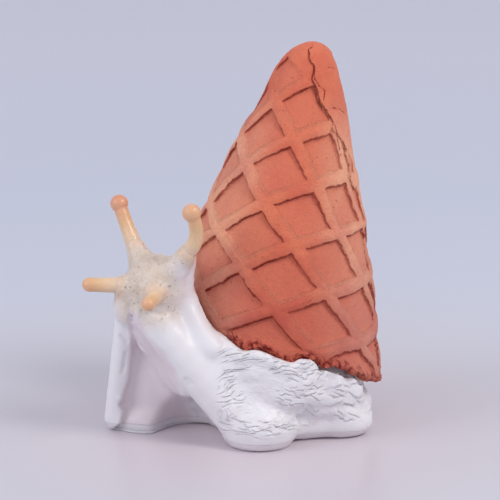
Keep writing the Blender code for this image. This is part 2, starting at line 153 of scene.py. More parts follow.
def new_object(name, data):
    """An object in the scene, with the given mesh, light or camera."""
    added = bpy.data.objects.new(name, data)
    bpy.context.scene.collection.objects.link(added)
    return added


def new_piece(name, points, faces, material):
    """A smooth-shaded object from layout points."""
    mesh = bpy.data.meshes.new(name)
    mesh.from_pydata(to_frame(points).tolist(), [], faces)
    mesh.shade_smooth()
    mesh.materials.append(material)
    return new_object(name, mesh)


def keep_values(piece, name, values):
    """Stores a number, or three, at each vertex for the materials to read."""
    values = np.asarray(values, np.float32)
    kind, field = ("FLOAT", "value") if values.ndim == 1 else ("FLOAT_VECTOR", "vector")
    attribute = piece.data.attributes.new(name, kind, "POINT")
    attribute.data.foreach_set(field, values.ravel())


def mesh_points(mesh):
    """A mesh's vertices as layout points."""
    points = np.empty(len(mesh.vertices) * 3)
    mesh.vertices.foreach_get("co", points)
    return to_layout(points.reshape(-1, 3))


def normals_of(points, faces):
    """Unit vertex normals of a quad mesh."""
    first = points[faces[:, 2]] - points[faces[:, 0]]
    second = points[faces[:, 3]] - points[faces[:, 1]]
    across = np.cross(first, second)
    total = np.zeros_like(points)
    for corner in range(4):
        np.add.at(total, faces[:, corner], across)
    return total / np.maximum(np.linalg.norm(total, axis=1, keepdims=True), 1e-12)


def ball_part(centre, radius, rows=11, count=20):
    """A ball's points and faces, in layout millimetres."""
    rise = np.linspace(0.5 * math.pi, -0.5 * math.pi, rows + 2)[1:-1, None]
    turn = np.linspace(0.0, 2.0 * math.pi, count, endpoint=False)[None, :]
    ring = np.stack([np.cos(rise) * np.cos(turn), np.cos(rise) * np.sin(turn), np.sin(rise) + 0.0 * turn], -1)
    points = np.concatenate([ring.reshape(-1, 3), [(0.0, 0.0, 1.0), (0.0, 0.0, -1.0)]])
    return np.array(centre) + points * radius, tube_faces(rows, count)


def rod_parts(start, end, start_radius, end_radius, balls=13):
    """A round-ended, tapering rod as a row of balls."""
    shares = np.linspace(0.0, 1.0, balls)
    centres = np.outer(1.0 - shares, start) + np.outer(shares, end)
    radii = start_radius + (end_radius - start_radius) * shares
    return [ball_part(centre, radius) for centre, radius in zip(centres, radii)]


def drum_part(centre, radius, foot, top, count=48):
    """An upright cylinder."""
    turn = np.linspace(0.0, 2.0 * math.pi, count, endpoint=False)
    ring = np.stack([centre[0] + radius * np.cos(turn), centre[1] + radius * np.sin(turn)], -1)
    rows = [np.column_stack([ring, np.full(count, height)]) for height in (top, foot)]
    return np.concatenate(rows + [[(*centre, top), (*centre, foot)]]), tube_faces(2, count)


def node_part(node, lift=0.0):
    """A CAD node's mesh, raised by the lift."""
    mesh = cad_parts[node].data
    return mesh_points(mesh) + (0.0, 0.0, lift), [list(face.vertices) for face in mesh.polygons]


def remeshed(parts, coarse, smoothing, fine, settling=2):
    """The union of closed parts as even quads: layout points and faces."""
    points, faces, count = [], [], 0
    for part_points, part_faces in parts:
        points.append(part_points)
        faces += [[index + count for index in face] for face in part_faces]
        count += len(part_points)
    mesh = bpy.data.meshes.new("work")
    mesh.from_pydata(to_frame(np.concatenate(points)).tolist(), [], faces)
    work = new_object("work", mesh)
    for size, rounds in ((coarse, smoothing), (fine, settling)):
        remesh = work.modifiers.new("remesh", "REMESH")
        remesh.mode = "VOXEL"
        remesh.voxel_size = size * MM
        smooth = work.modifiers.new("smooth", "SMOOTH")
        smooth.factor = 0.5
        smooth.iterations = rounds
    evaluated = work.evaluated_get(bpy.context.evaluated_depsgraph_get()).to_mesh()
    points = mesh_points(evaluated)
    corners = np.empty(len(evaluated.loops), np.int32)
    evaluated.loops.foreach_get("vertex_index", corners)
    bpy.data.objects.remove(work)
    bpy.data.meshes.remove(mesh)
    return points, corners.reshape(-1, 4)


# ---- materials


def add_node(tree, kind, inputs=None, **settings):
    """A shader node, with its inputs set to numbers or linked to sockets."""
    node = tree.nodes.new(f"ShaderNode{kind}")
    for name, value in settings.items():
        setattr(node, name, value)
    for name, value in (inputs or {}).items():
        socket = node.inputs[name]
        if isinstance(value, bpy.types.NodeSocket):
            tree.links.new(value, socket)
        else:
            socket.default_value = value
    return node


def maths(tree, operation, *values, clamp=False):
    inputs = dict(enumerate(values))
    return add_node(tree, "Math", inputs, operation=operation, use_clamp=clamp).outputs[0]


def times(tree, first, second):
    return maths(tree, "MULTIPLY", first, second)


def times_plus(tree, value, factor, rest):
    """The value times the factor, and the rest added."""
    return maths(tree, "MULTIPLY_ADD", value, factor, rest)


def largest(tree, *values):
    return maths(tree, "MAXIMUM", *values)


def weighted(tree, *terms):
    """The sum of values, each times its factor."""
    result = 0.0
    for value, factor in terms:
        result = times_plus(tree, value, factor, result)
    return result


def size_of(tree, value):
    """The value without its sign."""
    return maths(tree, "ABSOLUTE", value)


def vector_maths(tree, operation, *values):
    return add_node(tree, "VectorMath", dict(enumerate(values)), operation=operation).outputs[0]


def axes_of(tree, vector):
    return add_node(tree, "SeparateXYZ", {"Vector": vector}).outputs


def paint(tree, shader, colour):
    tree.links.new(colour, shader.inputs["Base Color"])


def blended(tree, share, first, second, mode="MIX"):
    node = tree.nodes.new("ShaderNodeMix")
    node.data_type = "RGBA"
    node.blend_type = mode
    for index, value in ((0, share), (6, first), (7, second)):
        if isinstance(value, bpy.types.NodeSocket):
            tree.links.new(value, node.inputs[index])
        else:
            node.inputs[index].default_value = value if index == 0 else (*value, 1.0)
    return node.outputs[2]


def add_ramp(tree, share, stops):
    """A colour that runs through stops of (position, colour)."""
    node = add_node(tree, "ValToRGB", {"Fac": share})
    elements = node.color_ramp.elements
    for position, colour in stops[1:-1]:
        elements.new(position).color = (*colour, 1.0)
    for element, (position, colour) in ((elements[0], stops[0]), (elements[-1], stops[-1])):
        element.position = position
        element.color = (*colour, 1.0)
    return node.outputs[0]


def stored(tree, name, output="Fac"):
    """What keep_values stored under the name."""
    return add_node(tree, "Attribute", attribute_name=name).outputs[output]


def mapped(tree, vector, scale):
    return add_node(tree, "Mapping", {"Vector": vector, "Scale": scale}).outputs[0]


def cloud(tree, vector, scale, detail=2.0, roughness=0.5):
    inputs = {"Vector": vector, "Scale": scale, "Detail": detail, "Roughness": roughness}
    return add_node(tree, "TexNoise", inputs).outputs["Fac"]


def between(tree, value, low, high, to_low=0.0, to_high=1.0):
    """to_low below low, to_high above high, smooth between. low may be the larger of the two."""
    inputs = {"Value": value, "From Min": low, "From Max": high, "To Min": to_low, "To Max": to_high}
    return add_node(tree, "MapRange", inputs, interpolation_type="SMOOTHSTEP").outputs[0]


def start_material(name, **sockets):
    """A material, its tree and its shader, with plain values on the shader's own sockets."""
    material = bpy.data.materials.new(name)
    material.use_nodes = True
    tree = material.node_tree
    shader = tree.nodes["Principled BSDF"]
    for socket, value in sockets.items():
        shader.inputs[socket.replace("_", " ")].default_value = value
    return material, tree, shader


def bump(tree, shader, height, distance, strength=1.0):
    node = add_node(tree, "Bump", {"Height": height, "Distance": distance, "Strength": strength})
    tree.links.new(node.outputs[0], shader.inputs["Normal"])


def place_in_mm(tree):
    """The object's own coordinates, in millimetres."""
    position = add_node(tree, "TexCoord").outputs["Object"]
    return mapped(tree, position, (1.0 / MM,) * 3)


def pits(tree, place, size, radius, presence):
    """Small round pits, at most one to a cell of the given size."""
    cells = add_node(tree, "TexVoronoi", {"Vector": place, "Scale": 1.0 / size})
    away = times(tree, cells.outputs["Distance"], size)
    own = axes_of(tree, cells.outputs["Color"])["X"]
    depth = between(tree, away, 0.4 * radius, radius, 1.0, 0.0)
    return times(tree, depth, maths(tree, "LESS_THAN", own, presence))


def wrinkles(tree, vector, size, length, width, presence, seed):
    """Short wrinkles, each a ridge with a groove beside it, at most one to a cell.

    They run mostly along the vector's first axis, and their sizes are millimetres.
    """
    shift = vector_maths(tree, "ADD", vector, (seed * 7.1, seed * 3.7, seed))
    bend = add_node(tree, "TexNoise", {"Vector": shift, "Scale": 0.5, "Detail": 1.0}).outputs["Color"]
    bend = vector_maths(tree, "MULTIPLY", bend, (2.4, 2.4, 0.0))
    shift = vector_maths(tree, "ADD", shift, bend)
    squeezed = mapped(tree, shift, (size / length, 1.0, 0.0))
    inputs = {"Vector": squeezed, "Scale": 1.0 / size, "Randomness": 0.85}
    cells = add_node(tree, "TexVoronoi", inputs, voronoi_dimensions="2D")
    local = axes_of(tree, vector_maths(tree, "SUBTRACT", squeezed, cells.outputs["Position"]))
    own = axes_of(tree, cells.outputs["Color"])
    x = times(tree, local["X"], length / size)
    tilt = times_plus(tree, own["X"], 0.9, -0.45)
    curve = times_plus(tree, own["Y"], 0.5, -0.25)
    y = times_plus(tree, x, tilt, local["Y"])
    y = times_plus(tree, times(tree, x, x), curve, y)
    ridge = between(tree, size_of(tree, maths(tree, "SUBTRACT", y, 0.5 * width)), 0.0, width, 1.0, 0.0)
    groove = between(tree, size_of(tree, maths(tree, "ADD", y, 0.5 * width)), 0.0, width, 0.7, 0.0)
    ridge = maths(tree, "SUBTRACT", ridge, groove)
    ends = between(tree, size_of(tree, x), 0.25 * length, 0.48 * length, 1.0, 0.0)
    there = between(tree, own["Z"], 1.0 - presence, 1.05 - presence)
    return times(tree, times(tree, ridge, ends), there)


def make_skin_material():
    material, tree, shader = start_material(
        "white_skin", Roughness=0.36, Specular_IOR_Level=0.45, Subsurface_Weight=0.2,
        Subsurface_Scale=0.7 * MM, Subsurface_Radius=(1.0, 0.75, 0.7),
    )
    place = place_in_mm(tree)
    cream, creased = stored(tree, "cream"), stored(tree, "creased")
    fan, wrap = stored(tree, "fan", "Vector"), stored(tree, "wrap", "Vector")
    fan_share = stored(tree, "fan_share")

    coarse = wrinkles(tree, fan, 1.2, 3.0, 0.36, 0.8, 1)
    on_fan = maths(tree, "ADD", coarse, wrinkles(tree, fan, 0.9, 2.0, 0.26, 0.6, 2))
    coarse = wrinkles(tree, wrap, 1.3, 2.8, 0.36, 0.65, 3)
    on_wrap = maths(tree, "ADD", coarse, wrinkles(tree, wrap, 0.95, 1.9, 0.26, 0.5, 4))
    creases = add_node(tree, "Mix", {0: fan_share, 2: on_wrap, 3: on_fan}).outputs[0]
    patches = between(tree, cloud(tree, place, 0.22, 2.0), 0.42, 0.52, 0.1, 1.0)
    creases = times(tree, creases, times(tree, creased, patches))

    shaded_pores = largest(tree, pits(tree, place, 0.6, 0.15, 0.45), pits(tree, place, 1.2, 0.26, 0.35))
    shaded_pores = times(tree, shaded_pores, between(tree, cream, 0.0, 0.8, 0.05, 1.0))
    shaded_pores = times(tree, shaded_pores, between(tree, cloud(tree, place, 0.4), 0.4, 0.55, 0.35, 1.0))
    grain = cloud(tree, place, 5.0, 3.0, 0.6)

    blotch = between(tree, cloud(tree, place, 0.9, 3.0, 0.6), 0.35, 0.65)
    head = blended(tree, blotch, (0.68, 0.57, 0.46), (0.74, 0.64, 0.55))
    white = blended(tree, cloud(tree, place, 0.25, 2.0), (0.80, 0.79, 0.81), (0.84, 0.83, 0.85))
    speckle = between(tree, cloud(tree, place, 2.6, 3.0, 0.7), 0.52, 0.7, 0.0, 0.45)
    head = blended(tree, speckle, head, (0.50, 0.40, 0.30))
    colour = blended(tree, cream, white, head)
    colour = blended(tree, stored(tree, "amber"), colour, (0.86, 0.56, 0.36))
    # The smooth hollow is painted a darker pinkish grey: painted shade, with the floor's pink as a painted
    # reflection.
    colour = blended(tree, stored(tree, "hollow"), colour, (0.76, 0.68, 0.71))
    # Painted shade: the skin's pits are painted dark inside.
    colour = blended(tree, times(tree, shaded_pores, 0.6), colour, (0.36, 0.31, 0.30))
    paint(tree, shader, colour)

    swell, rough = cloud(tree, place, 1.1, 2.0), cloud(tree, place, 1.8, 3.0, 0.6)
    terms = [(creases, 0.13), (grain, 0.02), (times(tree, swell, creased), 0.18)]
    terms += [(times(tree, rough, cream), 0.2), (shaded_pores, -0.12)]
    bump(tree, shader, weighted(tree, *terms), MM)
    return material


def make_sole_material():
    material, tree, shader = start_material(
        "milky_sole", Roughness=0.3, Specular_IOR_Level=0.5, Subsurface_Weight=0.5,
        Subsurface_Scale=2.0 * MM, Subsurface_Radius=(1.0, 0.8, 0.75),
    )
    place = place_in_mm(tree)
    paint(tree, shader, blended(tree, cloud(tree, place, 0.3, 3.0), (0.80, 0.74, 0.77), (0.86, 0.81, 0.84)))
    bump(tree, shader, cloud(tree, place, 2.5, 3.0), 0.03 * MM)
    return material


def wafer_lines(tree, place):
    """The pressed lattice's lines, its painted shade, the painted highlight on its lit edges and its darker
    floors, from the stored cell coordinates.
    """
    place_in_cells = stored(tree, "cell", "Vector")
    cell = axes_of(tree, place_in_cells)
    ragged = times_plus(tree, cloud(tree, place, 0.9, 4.0, 0.65), 0.9, -0.45)
    own = vector_maths(tree, "FLOOR", vector_maths(tree, "ADD", place_in_cells, (0.5, 0.5, 0.0)))
    own = add_node(tree, "TexWhiteNoise", {"Vector": own}).outputs["Value"]
    insides, offsets = [], []
    for axis in ("X", "Y"):
        offset = maths(tree, "SUBTRACT", cell[axis], maths(tree, "ROUND", cell[axis]))
        inside = maths(tree, "SUBTRACT", POCKET_HALF, size_of(tree, offset))
        insides.append(times_plus(tree, inside, CELL_PITCH, ragged))
        offsets.append(offset)
    # Dark lines along the pocket walls, heaviest on the upper and right walls: the dark wash in the grooves,
    # with painted shadow on the walls turned from the light.
    lines, shades = [], []
    for i, weight, width in ((0, 0.85, 0.17), (1, 1.0, 0.27)):
        there = between(tree, insides[1 - i], -0.15, 0.1)
        line = between(tree, size_of(tree, maths(tree, "SUBTRACT", insides[i], 0.1)), 0.05, width, 1.0, 0.0)
        line = times(tree, line, there)
        lines.append(times(tree, line, between(tree, offsets[i], -0.2, 0.25, weight, 0.22)))
        shade = times(tree, between(tree, insides[i], 0.0, 1.1, 1.0, 0.0), there)
        shade = times(tree, shade, between(tree, insides[i], -0.3, 0.05))
        shades.append(times(tree, shade, between(tree, offsets[i], -0.2, 0.1, weight, 0.0)))
    line = largest(tree, *lines)
    shade = largest(tree, *shades)
    broken = between(tree, cloud(tree, place, 0.45, 3.0, 0.6), 0.36, 0.56, 0.45, 1.0)
    broken = times(tree, broken, between(tree, own, 0.0, 1.0, 0.65, 1.0))
    line = times(tree, line, broken)
    inside = maths(tree, "MINIMUM", *insides)
    # A lighter band along the pockets' lower and left edges: painted highlight where those walls face the
    # light, over real crumb bumps.
    low_side = between(tree, maths(tree, "ADD", *offsets), -0.1, 0.5)
    crumbs = between(tree, size_of(tree, maths(tree, "ADD", inside, 0.05)), 0.1, 0.45, 1.0, 0.0)
    crumbs = times(tree, crumbs, low_side)
    # The pocket floors, painted a little darker: painted shade in the recesses.
    floor = between(tree, inside, 0.0, 0.2)
    pressed = stored(tree, "pressed")
    return [times(tree, value, pressed) for value in (line, shade, crumbs, floor)]


# How much paler the cone's sides are painted than its front, in red, green and blue: painted light from the
# lamps at the sides.
SIDE_LIGHT_TINT = (1.14, 1.75, 1.9)


def make_wafer_material():
    material, tree, shader = start_material("terracotta_wafer", Roughness=0.6, Specular_IOR_Level=0.25)
    place = place_in_mm(tree)
    line, shade, crumbs, floor = wafer_lines(tree, place)
    broken, gap_shade = stored(tree, "broken"), stored(tree, "gap_shade")
    # The flap's edge and the cracks are painted dark: painted shadow under the raised edge and in the cracks.
    seam = times_plus(tree, cloud(tree, place, 1.4, 4.0, 0.7), 0.3, -0.15)
    seam = maths(tree, "ADD", stored(tree, "seam"), seam)
    crack = between(tree, size_of(tree, seam), 0.01, 0.12, 0.85, 0.0)
    line = largest(tree, line, crack)
    # Painted shade in the gaps between the rim's crumbs and over the inside of the cone.
    line = largest(tree, line, gap_shade)
    fine = cloud(tree, place, 3.6, 4.0, 0.75)
    # Painted highlights: bright glints on the crumbs and the broken rim.
    crumb_glints = times(tree, between(tree, fine, 0.58, 0.7), largest(tree, crumbs, broken))
    # Small pits, painted dark inside: painted shade.
    shaded_holes = largest(tree, pits(tree, place, 1.6, 0.16, 0.16), pits(tree, place, 0.9, 0.11, 0.12))
    line = largest(tree, line, times(tree, shaded_holes, 0.7))

    patches = between(tree, cloud(tree, place, 0.16, 3.0, 0.6), 0.35, 0.65)
    colour = blended(tree, patches, (0.77, 0.20, 0.12), (0.85, 0.265, 0.15))
    # Painted light: the cone's sides are painted paler than its front, as if lit by the side lamps.
    paler = vector_maths(tree, "MULTIPLY", colour, SIDE_LIGHT_TINT)
    colour = blended(tree, 1.0, colour, (0.99, 0.86, 0.80), "MULTIPLY")
    colour = blended(tree, stored(tree, "sides"), colour, paler)
    # Painted shade: the lower cone is painted darker and pinker.
    colour = blended(tree, stored(tree, "low"), colour, (0.80, 0.68, 0.78), "MULTIPLY")
    # Darker red where the fine grain is low.
    grain_lows = between(tree, fine, 0.52, 0.3)
    layers = (
        (shade, 0.5, (0.50, 0.07, 0.04)),
        # Painted shade on the pocket floors.
        (floor, 0.5, (0.76, 0.20, 0.12)),
        (grain_lows, 0.45, (0.60, 0.12, 0.075)),
        (broken, 0.45, (0.62, 0.10, 0.06)),
        # Painted highlight along the lit lower and left edges.
        (crumbs, 0.2, (0.88, 0.36, 0.22)),
        (crumb_glints, 0.8, (0.95, 0.62, 0.48)),
        # The dark lines: wash in the grooves with painted shadow, and painted shade in the cracks, pits and
        # crumb gaps.
        (line, 0.95, (0.26, 0.016, 0.009)),
    )
    for where, strength, layer in layers:
        colour = blended(tree, times(tree, where, strength), colour, layer)
    paint(tree, shader, colour)

    lumps = cloud(tree, place, 1.3, 3.0, 0.6)
    beads = add_node(tree, "TexVoronoi", {"Vector": place, "Scale": 2.2}).outputs["Distance"]
    terms = [(fine, 0.26), (lumps, 0.16), (shaded_holes, -0.12), (floor, -0.10), (line, -0.12)]
    terms += [(times(tree, crumbs, fine), 0.15), (times(tree, beads, broken), -0.45)]
    bump(tree, shader, weighted(tree, *terms), MM)
    return material


# A tentacle's colours, from the cream root to the reddest tip.
AMBER_STOPS = (
    (0.0, (0.78, 0.62, 0.47)),
    (0.25, (0.78, 0.57, 0.37)),
    (0.5, (0.73, 0.48, 0.26)),
    (0.8, (0.74, 0.40, 0.24)),
    (1.0, (0.66, 0.27, 0.15)),
)


def make_tentacle_material():
    material, tree, shader = start_material(
        "amber_tentacle", Roughness=0.42, Subsurface_Weight=0.6, Subsurface_Scale=1.0 * MM,
        Specular_IOR_Level=0.5, Coat_Weight=0.3, Coat_Roughness=0.2,
        Subsurface_Radius=(1.0, 0.6, 0.35),
    )
    place = place_in_mm(tree)
    ramp = add_ramp(tree, stored(tree, "along"), AMBER_STOPS)
    speckle = between(tree, cloud(tree, place, 3.0, 3.0, 0.7), 0.55, 0.75)
    paint(tree, shader, blended(tree, times(tree, speckle, 0.3), ramp, (0.70, 0.42, 0.22)))
    bump(tree, shader, cloud(tree, place, 2.0, 3.0), 0.05 * MM)
    return material


def make_plastic_material():
    """The plain moulding of the pieces inside."""
    material, tree, shader = start_material(
        "natural_plastic", Roughness=0.45, Subsurface_Weight=0.15, Subsurface_Scale=0.8 * MM
    )
    place = place_in_mm(tree)
    paint(tree, shader, blended(tree, cloud(tree, place, 0.4, 3.0), (0.74, 0.73, 0.70), (0.80, 0.79, 0.76)))
    bump(tree, shader, cloud(tree, mapped(tree, place, (1.0, 1.0, 6.0)), 1.5, 2.0), 0.02 * MM)
    return material


# ---- the cone

# Height, centre in X and outer radius, from the tip down.
CONE_STATIONS = (
    (59.0, 9.3, 0.0), (58.93, 9.3, 0.7), (58.6, 9.2, 1.6), (58.1, 9.05, 2.5), (57.4, 8.9, 3.25),
    (55.6, 8.6, 4.3), (50.7, 7.9, 6.2), (46.0, 7.0, 8.0), (42.3, 6.3, 9.3), (38.1, 5.7, 10.6),
    (34.4, 5.1, 11.9), (31.5, 4.9, 12.7), (20.7, 4.9, 14.1), (11.5, 5.2, 14.8), (5.0, 5.3, 14.9),
)
PROFILE_STEPS = 1081
PROFILE_BLUR = 22
CONE_WALL = 1.4
CONE_COLUMNS = 432
CONE_ROWS = 216
CAVITY_ROWS = 9
CAVITY_TOP = 56.0

# The rim: its height at the axis, its slope to the right, and a wave that dips twice round it.
RIM_HEIGHT = 13.9
RIM_SLOPE = -0.475
RIM_WAVE = 1.6
RIM_WAVE_ANGLE = -122.0
RIM_RADIUS = 14.0

# How far the broken edge stands above or below the slanted plane: degrees from the front, millimetres.
RIM_BREAKS = (
    (-100, 0.0), (-62, -0.2), (-53, -0.8), (-46, -0.5), (-37, -0.25), (-27, -0.5), (-22, -0.6), (-18, 0.5),
    (-11, 0.7), (-6, 0.45), (0, 0.15), (5, 0.1), (8, 1.2), (12, 1.5), (18, 1.1), (24, 0.4), (30, 1.0),
    (35, 0.8), (41, 0.4), (46, -0.2), (51, 0.2), (56, -0.8), (64, -1.0), (84, -1.1), (105, -0.3), (130, 0.0),
)

# The pressed lattice on the unrolled sheet: cell indices from the distance round the cone, x, and the
# distance down from the tip past 30 mm, y. The last two terms are the stretch, in x squared and x times y.
CELL_ACROSS = (0.482, -0.1036, 0.0770, -0.0011, 0.0009)
CELL_DOWN = (0.138, 0.0432, 0.1198, -0.0011, -0.0007)
STRETCH_REACH = 22.0
CELL_PITCH = 8.0
# Half a pocket's width, as a share of the pitch, and its depth in millimetres.
POCKET_HALF = 0.375
POCKET_DEPTH = 0.5

# The sheet's outer end, which lies over the front: degrees from the front at distances down from the tip.
FLAP_EDGE = (
    (0.0, 3.0), (1.6, 7.5), (2.7, -2.8), (4.1, -1.3), (5.5, 12.1), (7.3, 11.0), (9.2, 17.5), (10.7, 23.9),
    (12.0, 31.6), (13.2, 39.1), (14.3, 43.3), (15.5, 39.5), (16.3, 48.1), (17.7, 57.4), (19.0, 61.8),
    (19.7, 58.8), (21.5, 64.2), (23.5, 61.0), (26.4, 68.4), (28.4, 73.0), (31.6, 75.6), (34.7, 77.0),
    (41.5, 75.0), (60.0, 79.0),
)
# Cracks and dents beside it, as the same pairs turned round: (degrees, down).
CRACKS = (
    ((12.1, 5.5), (13.3, 7.35), (20.8, 8.45), (31.3, 9.3), (28.5, 10.8)),
    ((41.8, 5.9), (54.1, 5.9), (68.9, 6.4)),
    ((31.6, 12.3), (43.2, 12.1), (59.5, 12.7), (70.3, 13.4)),
    ((43.3, 14.5), (48.0, 16.4), (51.0, 18.8)),
)
FLAP_STEP = 0.38

# What is stored on the cone for its material, and its plain values inside the cone, where the gap value of
# 0.4 paints shade over the whole cavity.
CONE_VALUES = dict(cell=(0.0, 0.0, 0.0), pressed=0.0, seam=3.0, broken=0.0, gap_shade=0.4, sides=0.0, low=0.0)


def station_values(heights):
    """The cone's centre in X and its outer radius."""
    table = np.array(CONE_STATIONS[::-1])
    return np.interp(heights, table[:, 0], table[:, 1]), np.interp(heights, table[:, 0], table[:, 2])


def make_profile():
    """Heights against the distance down the cone's side, softened between stations."""
    heights = np.linspace(CONE_STATIONS[0][0], CONE_STATIONS[-1][0], PROFILE_STEPS)
    window = np.hanning(2 * PROFILE_BLUR + 1)
    window /= window.sum()
    centres, radii = station_values(heights)
    padded = [np.pad(values, PROFILE_BLUR, mode="edge") for values in (centres, radii)]
    centres, blurred = (np.convolve(values, window, mode="valid") for values in padded)
    radii = radii + (blurred - radii) * ease(58.0, 55.0, heights)
    steps = np.hypot(np.diff(heights), np.diff(radii))
    return heights, centres, radii, np.concatenate([[0.0], np.cumsum(steps)])


PROFILE_HEIGHTS, PROFILE_CENTRES, PROFILE_RADII, PROFILE_DOWN = make_profile()


def profile_at(down):
    """Height, centre and radius at a distance down the cone's side."""
    columns = (PROFILE_HEIGHTS, PROFILE_CENTRES, PROFILE_RADII)
    return tuple(np.interp(down, PROFILE_DOWN, values) for values in columns)


def down_at(heights):
    """Distances down the cone's side."""
    return np.interp(-heights, -PROFILE_HEIGHTS, PROFILE_DOWN)


def ring_points(centre, radius, angle, height):
    """Points round the cone's axis, or round a centre in line with it."""
    x, y = centre + radius * np.cos(angle), AXIS[1] + radius * np.sin(angle)
    return np.stack([x, y, height + 0.0 * angle], -1)


def rim_height(bearing):
    """The broken rim's height. Bearings are degrees from the front, positive to the right."""
    angle = np.radians(bearing - 90.0)
    height = np.full_like(angle, RIM_HEIGHT)
    wave = RIM_WAVE * np.cos(2.0 * (angle - math.radians(RIM_WAVE_ANGLE)))
    for _ in range(8):
        centre, radius = station_values(height)
        height = RIM_HEIGHT + RIM_SLOPE * (centre + radius * np.cos(angle) - AXIS[0]) - wave
    breaks = np.array(RIM_BREAKS)
    height = height + np.interp(bearing, breaks[:, 0], breaks[:, 1])
    ring = np.stack([RIM_RADIUS * np.cos(angle), RIM_RADIUS * np.sin(angle), np.zeros_like(angle)], -1)
    back = ease(60.0, 110.0, np.abs(bearing))
    return height + 0.22 * noise(ring, 1.7, 11) + 0.35 * noise(ring, 5.0, 12) * back


def crack_distance(bearing, down, radius):
    """Millimetres from the nearest crack."""
    spot = np.stack([np.radians(bearing) * radius, down], -1)
    nearest = np.full(len(spot), 9.0)
    for crack in CRACKS:
        points = [(math.radians(turn) * profile_at(level)[2], level) for turn, level in crack]
        nearest = np.minimum(nearest, path_distance(spot, points))
    return nearest


def cone_relief(bearing, down, radius):
    """The pattern's height above the plain cone, its cells, how pressed it is, and the nearest seam."""
    turned = np.radians(bearing)
    sheet = np.stack([radius * np.sin(turned), -radius * np.cos(turned), down], -1)
    edge_turn = np.interp(down, *np.array(FLAP_EDGE).T)
    past = (bearing - edge_turn) * np.radians(1.0) * radius + 0.2 * noise(sheet, 1.6, 21)
    on_flap = past > 0.0
    x = turned * radius
    slope = np.gradient(PROFILE_RADII, PROFILE_DOWN)
    y = down - 0.5 * turned * x * np.interp(down, PROFILE_DOWN, slope) - 30.0
    x = x + 0.25 * noise(sheet, 4.0, 22) + np.where(on_flap, 3.1, 0.0)
    y = y + 0.25 * noise(sheet, 4.0, 23) + np.where(on_flap, -1.6, 0.0)
    bent = x * x / (1.0 + (x / STRETCH_REACH) ** 4)
    terms = np.stack([np.ones_like(x), x, y, bent, np.clip(x, -18, 18) * y])
    across = np.tensordot(CELL_ACROSS, terms, 1)
    along = np.tensordot(CELL_DOWN, terms, 1)
    pressed = ease(2.5, 5.0, down) * ease(179.0, 171.0, np.abs(bearing) + noise(sheet, 3.0, 25))
    pressed *= np.where(on_flap, ease(17.0, 25.0, down), ease(0.3, 2.0, -past + down - 7.5))

    cell = np.stack([np.round(across), np.round(along), np.where(on_flap, 1.0, 0.0)], -1)
    side, drop = across - cell[..., 0], along - cell[..., 1]
    own = scrambled(cell, 31) - 0.5
    inside = (POCKET_HALF - np.maximum(np.abs(side), np.abs(drop))) * CELL_PITCH
    inside = inside + 0.1 * noise(sheet, 1.1, 24, 3)
    depth = POCKET_DEPTH * np.clip(0.66 - 0.75 * side - 0.8 * drop + 0.3 * own, 0.12, 1.2) * pressed
    height = -depth * ease(0.0, 0.3, inside)
    height += 0.2 * pressed * ease(0.1, -0.9, inside)

    # The flap's end stands over the sheet beneath it, with a rolled lip.
    raised = np.where(on_flap, 0.35 + 0.65 * np.exp(-past / 1.6), -0.35 * np.exp(past / 1.5))
    height += FLAP_STEP * raised * ease(74.0, 66.0, edge_turn)
    seam = np.minimum(np.abs(past), crack_distance(bearing, down, radius)) + ease(2.2, 1.2, down)
    height -= 0.09 * np.exp(-((seam / 0.2) ** 2))
    return height, np.stack([across, along, np.zeros_like(across)], -1), pressed, np.clip(seam, 0.0, 3.0)


def cone_ring(height, angle, inset):
    """Points round the cone at the given heights, inside its plain surface by the inset."""
    centre, radius = station_values(height)
    return ring_points(centre, radius - inset, angle, height)


def cone_rows(bearing):
    """Rows of points from the tip, round the broken rim and up inside, with each row's stored values."""
    angle = np.radians(bearing - 90.0)
    rim_level = rim_height(bearing)
    rim = down_at(rim_level)
    rows, values = [], {name: [] for name in CONE_VALUES}
    for level in np.linspace(0.0, 1.0, CONE_ROWS) ** 0.97:
        down = 0.12 + (rim - 0.12) * level
        height, centre, radius = profile_at(down)
        relief, cell, pressed, seam = cone_relief(bearing, down, radius)
        spot = ring_points(centre, radius, angle, height)
        broken = ease(1.7, 0.5, rim - down + 0.6 * noise(spot, 2.2, 41)) * ease(-40.0, -32.0, bearing)
        broken = np.maximum(broken, ease(1.7, 0.5, rim - down) * ease(-110.0, -125.0, bearing))
        # Painted light: how much paler the sides are painted, where the side lamps fall.
        sides = ease(10.0, 52.0, np.abs(bearing)) * ease(8.0, 20.0, down)
        # Painted shade: how much the lower cone is painted darker.
        low = ease(32.0, 46.0, down)
        crumbs = grains(spot, 0.85, 42) + 0.5 * grains(spot, 0.45, 43)
        relief = relief * (1.0 - 0.8 * broken) + broken * (0.5 * crumbs - 0.12)
        relief = relief + 0.04 * noise(spot, 0.9, 44, 3)
        relief = np.minimum(relief + 0.10 * noise(spot, 6.0, 45), 0.22 + 0.2 * broken)
        radius = radius + relief * ease(0.0, 2.0, down)
        rows.append(ring_points(centre, radius, angle, height))
        # Painted shade in the gaps between the crumbs.
        gap = broken * ease(0.45, 0.1, crumbs)
        for name, value in zip(values, (cell, pressed * (1.0 - broken), seam, broken, gap, sides, low)):
            values[name].append(value)
    edge = rows[-1]
    middle = cone_ring(rim_level, angle, CONE_WALL)
    for share in (0.3, 0.7, 1.0):
        row = edge + (middle - edge) * share
        row[:, 2] += -0.2 * math.sin(math.pi * share) + 0.12 * noise(row, 0.8, 46)
        rows.append(row)
    for share in np.linspace(0.12, 1.0, CAVITY_ROWS):
        rows.append(cone_ring(rim_level + (CAVITY_TOP - rim_level) * share, angle, CONE_WALL))
    for name, plain in CONE_VALUES.items():
        values[name] += [np.array([plain] * len(bearing))] * (len(rows) - CONE_ROWS)
    return rows, values


